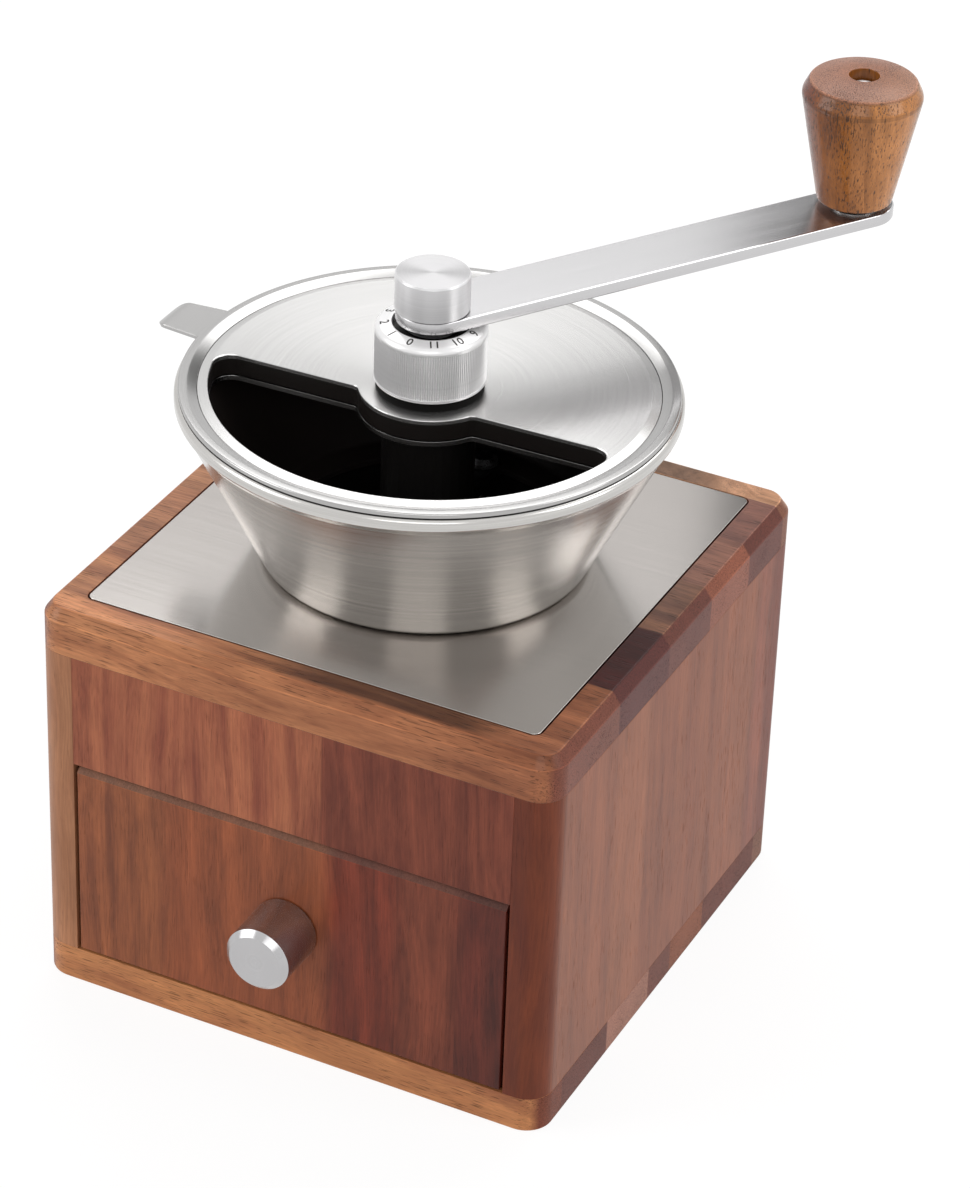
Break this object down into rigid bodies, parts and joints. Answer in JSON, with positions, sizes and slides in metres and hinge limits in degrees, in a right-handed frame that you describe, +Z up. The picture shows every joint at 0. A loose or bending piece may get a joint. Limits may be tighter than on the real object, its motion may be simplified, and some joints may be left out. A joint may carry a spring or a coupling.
{
  "type": "manual coffee grinder",
  "caption": "Square wooden box grinder with a steel hopper, shuttered lid, grind dial, side-reaching hand crank and a grounds drawer.",
  "frame": {"origin": "middle of the flat underside of the case", "axes": "+Z up along the shaft, drawer opens toward -Y, +X to the right of someone facing the drawer"},
  "size_m": [0.155, 0.2024, 0.2118],
  "materials": {
    "red_wood": "oiled reddish acacia, satin",
    "brown_wood": "oiled brown acacia, satin",
    "pale_wood": "oiled lighter acacia, satin",
    "satin_steel": "satin brushed stainless steel",
    "turned_steel": "fine turned stainless steel",
    "burr_steel": "hardened grey steel",
    "black_plastic": "black moulded plastic, half gloss",
    "bronze": "plain sintered bronze"
  },
  "bodies": {
    "case": {"bottom_board": "brown_wood", "side_panel_left": "red_wood", "side_panel_right": "red_wood", "back_panel": "red_wood", "header_panel": "red_wood", "top_board": "brown_wood", "top_plate": "satin_steel", "hopper": "satin_steel", "hopper_liner": "black_plastic", "burr_housing": "black_plastic", "lower_bush": "bronze", "outer_burr": "burr_steel", "bearing_column": "black_plastic", "housing_screw_1": "turned_steel", "housing_screw_2": "turned_steel", "housing_screw_3": "turned_steel", "lid_body": "black_plastic", "lid_disc": "turned_steel", "dial_washer": "black_plastic"},
    "shutter": {"shutter": "satin_steel"},
    "dial": {"grind_dial": "turned_steel"},
    "sleeve": {"lift_sleeve": "turned_steel"},
    "crank": {"shaft": "turned_steel", "inner_burr": "burr_steel", "burr_nut": "turned_steel", "crank_arm": "satin_steel", "cap_nut": "turned_steel", "knob_bush": "turned_steel", "knob_screw": "turned_steel"},
    "knob": {"crank_knob": "pale_wood"},
    "drawer": {"drawer_front": "red_wood", "drawer_side_left": "pale_wood", "drawer_side_right": "pale_wood", "drawer_back": "pale_wood", "drawer_floor": "pale_wood", "drawer_pull": "turned_steel", "pull_screw": "turned_steel"}
  },
  "joints": [
    {"name": "drawer_slide", "type": "slide", "parent": "case", "child": "drawer", "axis": [0, -1, 0], "range_m": [0, 0.095]},
    {"name": "shutter_turn", "type": "hinge", "parent": "case", "child": "shutter", "pos_m": [0, 0, 0.155], "axis": [0, 0, 1], "range_deg": [-180, 0]},
    {"name": "dial_turn", "type": "hinge", "parent": "case", "child": "dial", "pos_m": [0, 0, 0.165], "axis": [0, 0, 1], "range_deg": [0, 330]},
    {"name": "sleeve_lift", "type": "slide", "parent": "case", "child": "sleeve", "axis": [0, 0, 1], "range_m": [0, 0.0006875]},
    {"name": "crank_spin", "type": "hinge", "parent": "sleeve", "child": "crank", "pos_m": [0, 0, 0.165], "axis": [0, 0, 1], "continuous": true},
    {"name": "knob_spin", "type": "hinge", "parent": "crank", "child": "knob", "pos_m": [0.0666, 0.10138, 0.19], "axis": [0, 0, 1], "continuous": true}
  ],
  "couplings": [
    {"joint": "dial_turn", "follows": "sleeve_lift", "rad_per_m": 8377.6}
  ]
}
